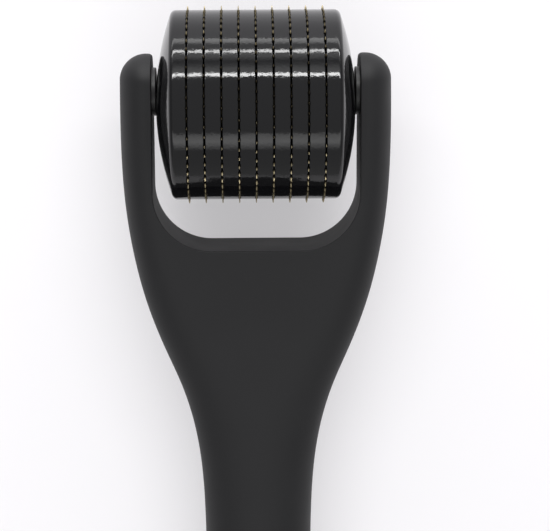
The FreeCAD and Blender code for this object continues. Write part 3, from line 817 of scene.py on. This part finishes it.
def disc_turn(node):
    """Turn of a disc's needles: the CAD disc's point that stands furthest out."""
    mesh = frame["nodes"][node].data
    points = np.zeros(len(mesh.vertices) * 3, np.float32)
    mesh.vertices.foreach_get("co", points)
    offset = points.reshape(-1, 3)[:, 1:] - AXLE[1:]
    tip = offset[np.argmax(np.hypot(offset[:, 0], offset[:, 1]))]
    return math.atan2(-tip[0], tip[1])


class ROLLER_OT_needles(bpy.types.Operator):
    """Make the gold needle discs"""

    bl_idname = "roller.needles"
    bl_label = "Needle discs"

    def execute(self, context):
        settings = context.scene.roller_drum
        material = gold_material(settings)
        bore, rim = settings.core_radius + settings.core_gap, BARREL_RADIUS - settings.groove
        for number, node in enumerate(DISCS, start=1):
            low, high = node_box(node)
            middle = (low[0] + high[0]) / 2
            profile = np.array(((low[0], bore), (low[0], rim), (high[0], rim), (high[0], bore)))
            band = turned_surface(profile, segments=240)
            needles, quads, triangles = needle_points(settings, middle, disc_turn(node))
            band_quads = grid_quads(*band.shape[:2], wrap_rows=True, wrap_columns=True) + len(needles)
            disc = mesh_object("needle_row_%d" % number,
                               np.concatenate([needles, band.reshape(-1, 3)]),
                               np.concatenate([quads, band_quads]), triangles)
            finish_piece(disc, "roller", material, [node])
        return {"FINISHED"}


class ROLLER_OT_shaft(bpy.types.Operator):
    """Make the steel shaft"""

    bl_idname = "roller.shaft"
    bl_label = "Shaft"

    def execute(self, context):
        settings = context.scene.roller_drum
        chamfer = settings.shaft_chamfer
        profile = np.array(((-SHAFT_HALF, 0), (-SHAFT_HALF, SHAFT_RADIUS - chamfer),
                            (-SHAFT_HALF + chamfer, SHAFT_RADIUS), (SHAFT_HALF - chamfer, SHAFT_RADIUS),
                            (SHAFT_HALF, SHAFT_RADIUS - chamfer), (SHAFT_HALF, 0)))
        work = Patchwork()
        work.add(turned_surface(profile, segments=64), wrap_rows=True)
        finish_piece(work.object("axle_pin"), "roller", steel_material(settings),
                     ["roller_shaft"])
        return {"FINISHED"}


class ROLLER_OT_core(bpy.types.Operator):
    """Finish the CAD core tube inside the drum"""

    bl_idname = "roller.core"
    bl_label = "Core tube"

    def execute(self, context):
        settings = context.scene.roller_drum
        core = frame["nodes"]["drum_core"]
        core.data.materials.clear()
        core.data.materials.append(moulded_material("core_plastic", settings.core_colour, 0.5))
        return {"FINISHED"}


# Stage

# The camera in the handle frame: where it stands, and its turns in degrees from looking
# straight down at the parting plane: tipped towards the tail, swung towards +X, and rolled.
CAMERA_PLACE = np.array((-1.83, 28.47, 229.021)) * MM
CAMERA_TIP, CAMERA_SWING, CAMERA_ROLL = 11.752, 0.979, -0.25


def handle_direction(vector):
    """A direction in the handle frame, turned to the row frame."""
    return handle_to_row(np.asarray(vector, float)) - AXLE


def camera_axes():
    """Right, up and forward in the handle frame. Forward is (sin s, -sin t cos s,
    -cos t cos s) for the tip t and the swing s; right is square to it, level in y before
    the roll."""
    tip, swing, roll = np.radians((CAMERA_TIP, CAMERA_SWING, CAMERA_ROLL))
    forward = np.array((np.sin(swing), -np.sin(tip) * np.cos(swing), -np.cos(tip) * np.cos(swing)))
    level = np.cross(forward, (0, 1, 0))
    level /= np.linalg.norm(level)
    right = level * np.cos(roll) + np.cross(level, forward) * np.sin(roll)
    return right, np.cross(right, forward), forward


def add_camera(settings):
    """The camera, placed and turned in the handle frame."""
    data = bpy.data.cameras.new("camera")
    data.sensor_width = 36
    data.lens = settings.lens
    data.clip_start = 0.01
    data.clip_end = 50
    camera = bpy.data.objects.new("camera", data)
    right, up, forward = (handle_direction(axis) for axis in camera_axes())
    placed = np.eye(4)
    placed[:3, 0], placed[:3, 1], placed[:3, 2] = right, up, -forward
    placed[:3, 3] = handle_to_row(CAMERA_PLACE)
    camera.matrix_world = placed.T.tolist()
    bpy.context.scene.collection.objects.link(camera)
    bpy.context.scene.camera = camera


# The strip lights: how far they are from the axle, and their length along X and width.
STRIP_DISTANCE = 0.5
STRIP_SIZE = (0.6, 0.028)
FAR_STRIP_ANGLE, NEAR_STRIP_ANGLE = 73.5, 42.9


def add_strip(name, degrees, radiance):
    """A long rectangular light along X that faces the drum, at an angle from the handle's
    normal towards the head. Its power gives the stated radiance."""
    data = bpy.data.lights.new(name, "AREA")
    data.shape = "RECTANGLE"
    data.size, data.size_y = STRIP_SIZE
    data.energy = radiance * math.pi * STRIP_SIZE[0] * STRIP_SIZE[1]
    light = bpy.data.objects.new(name, data)
    angle = math.radians(degrees)
    towards = handle_direction((0, math.sin(angle), math.cos(angle)))
    across = np.array((1, 0, 0))
    placed = np.eye(4)
    placed[:3, 0], placed[:3, 1], placed[:3, 2] = across, np.cross(towards, across), towards
    placed[:3, 3] = AXLE + towards * STRIP_DISTANCE
    light.matrix_world = placed.T.tolist()
    bpy.context.scene.collection.objects.link(light)


# The studio tent's radiance by angle, in degrees, from the handle's normal: towards the
# head it is positive, and the horizon lies at about 93.
TENT = ((-180, 0.58), (-49, 0.58), (-46, 1.3), (-43, 1.94), (-38, 3.02), (-33, 2.52),
        (-29, 2.02), (-27, 0.62), (41, 0.62), (44, 1.73), (50, 1.87), (56, 0.86), (61, 0.43),
        (65, 1.3), (68, 1.87), (72, 1.73), (77, 1.15), (85, 1.15), (88, 4.0), (94, 5.6),
        (97, 2.1), (180, 0.58))

# A side wall fades in between these shares of a direction that lie along X.
WALL_FADE = (0.5, 0.7)
TABLE_HALF = 1.2


def add_surround(settings):
    """A studio tent whose radiance changes with the angle about X, between two side walls."""
    world = bpy.data.worlds.new("studio")
    bpy.context.scene.world = world
    world.use_nodes = True
    tree = world.node_tree
    tree.nodes.clear()
    output = tree.nodes.new("ShaderNodeOutputWorld")
    light = tree.nodes.new("ShaderNodeBackground")
    tree.links.new(light.outputs["Background"], output.inputs["Surface"])
    direction = tree.nodes.new("ShaderNodeTexCoord").outputs["Generated"]

    def part_along(axis):
        return add_vector_math(tree, "DOT_PRODUCT", direction, axis)["Value"]

    angle = tree.nodes.new("ShaderNodeMath")
    angle.operation = "ARCTAN2"
    tree.links.new(part_along(handle_direction((0, 1, 0))), angle.inputs[0])
    tree.links.new(part_along(handle_direction((0, 0, 1))), angle.inputs[1])
    ramp = tree.nodes.new("ShaderNodeValToRGB")
    add_range(tree, angle.outputs["Value"], 0, 1, ramp.inputs["Fac"], -math.pi, math.pi)
    brightest = max(radiance for _, radiance in TENT)
    stops = ramp.color_ramp.elements
    while len(stops) < len(TENT):
        stops.new(0.5)
    for stop, (degrees, radiance) in zip(stops, TENT):
        stop.position = (degrees + 180) / 360
        stop.color = (*(radiance / brightest,) * 3, 1)
    tent = ramp.outputs["Color"]
    for side, wall in ((-1, settings.left_wall), (1, settings.right_wall)):
        mix = tree.nodes.new("ShaderNodeMix")
        mix.data_type = "RGBA"
        add_range(tree, part_along((side, 0, 0)), 0, 1, mix.inputs["Factor"], *WALL_FADE)
        tree.links.new(tent, mix.inputs["A"])
        mix.inputs["B"].default_value = (*(wall / brightest,) * 3, 1)
        tent = mix.outputs["Result"]
    tree.links.new(tent, light.inputs["Color"])
    light.inputs["Strength"].default_value = brightest


def add_table(settings):
    """A pale table at z = 0 that also glows a little, so that shadows on it are soft."""
    corners = np.array(((-1, -1, 0), (1, -1, 0), (1, 1, 0), (-1, 1, 0))) * TABLE_HALF
    table = mesh_object("table", corners, np.array(((0, 1, 2, 3),)))
    material, tree, shader, place = new_material("table_white")
    cloud = add_noise(tree, place, size=8 * MM, detail=4)
    add_colour_mix(tree, cloud, scaled(settings.table_colour, 0.995), settings.table_colour,
                   shader.inputs["Base Color"])
    shader.inputs["Roughness"].default_value = 0.7
    shader.inputs["Emission Color"].default_value = (*settings.table_colour, 1)
    shader.inputs["Emission Strength"].default_value = settings.table_glow
    table.data.materials.append(material)


class ROLLER_OT_stage(bpy.types.Operator):
    """Make the table, the lights and the camera"""

    bl_idname = "roller.stage"
    bl_label = "Stage"

    def execute(self, context):
        settings = context.scene.roller_stage
        add_table(settings)
        add_surround(settings)
        add_strip("strip_far", FAR_STRIP_ANGLE, settings.far_strip)
        add_strip("strip_near", NEAR_STRIP_ANGLE, settings.near_strip)
        add_camera(settings)
        context.scene.view_settings.view_transform = "Standard"
        return {"FINISHED"}


class ROLLER_PT_panel(bpy.types.Panel):
    """Lists the pieces of the roller"""

    bl_idname = "ROLLER_PT_panel"
    bl_label = "Derma roller"
    bl_space_type = "VIEW_3D"
    bl_region_type = "UI"
    bl_category = "Derma roller"

    def draw(self, context):
        layout = self.layout
        for operator in OPERATORS:
            layout.operator(operator.bl_idname)
        for group in (context.scene.roller_handle, context.scene.roller_drum, context.scene.roller_stage):
            box = layout.box()
            for key in type(group).__annotations__:
                box.prop(group, key)


OPERATORS = (ROLLER_OT_handle, ROLLER_OT_collars, ROLLER_OT_rings, ROLLER_OT_domes,
             ROLLER_OT_needles, ROLLER_OT_shaft, ROLLER_OT_core, ROLLER_OT_stage)
GROUPS = {"roller_handle": HandleProperties, "roller_drum": DrumProperties,
          "roller_stage": StageProperties}


def register():
    for item in (*GROUPS.values(), *OPERATORS, ROLLER_PT_panel):
        bpy.utils.register_class(item)
    for name, group in GROUPS.items():
        setattr(bpy.types.Scene, name, bpy.props.PointerProperty(type=group))


def unregister():
    for name in GROUPS:
        delattr(bpy.types.Scene, name)
    for item in reversed((*GROUPS.values(), *OPERATORS, ROLLER_PT_panel)):
        bpy.utils.unregister_class(item)


def main():
    register()
    bpy.ops.roller.handle()
    bpy.ops.roller.collars()
    bpy.ops.roller.rings()
    bpy.ops.roller.domes()
    bpy.ops.roller.needles()
    bpy.ops.roller.shaft()
    bpy.ops.roller.core()
    bpy.ops.roller.stage()


if __name__ == "__main__":
    main()
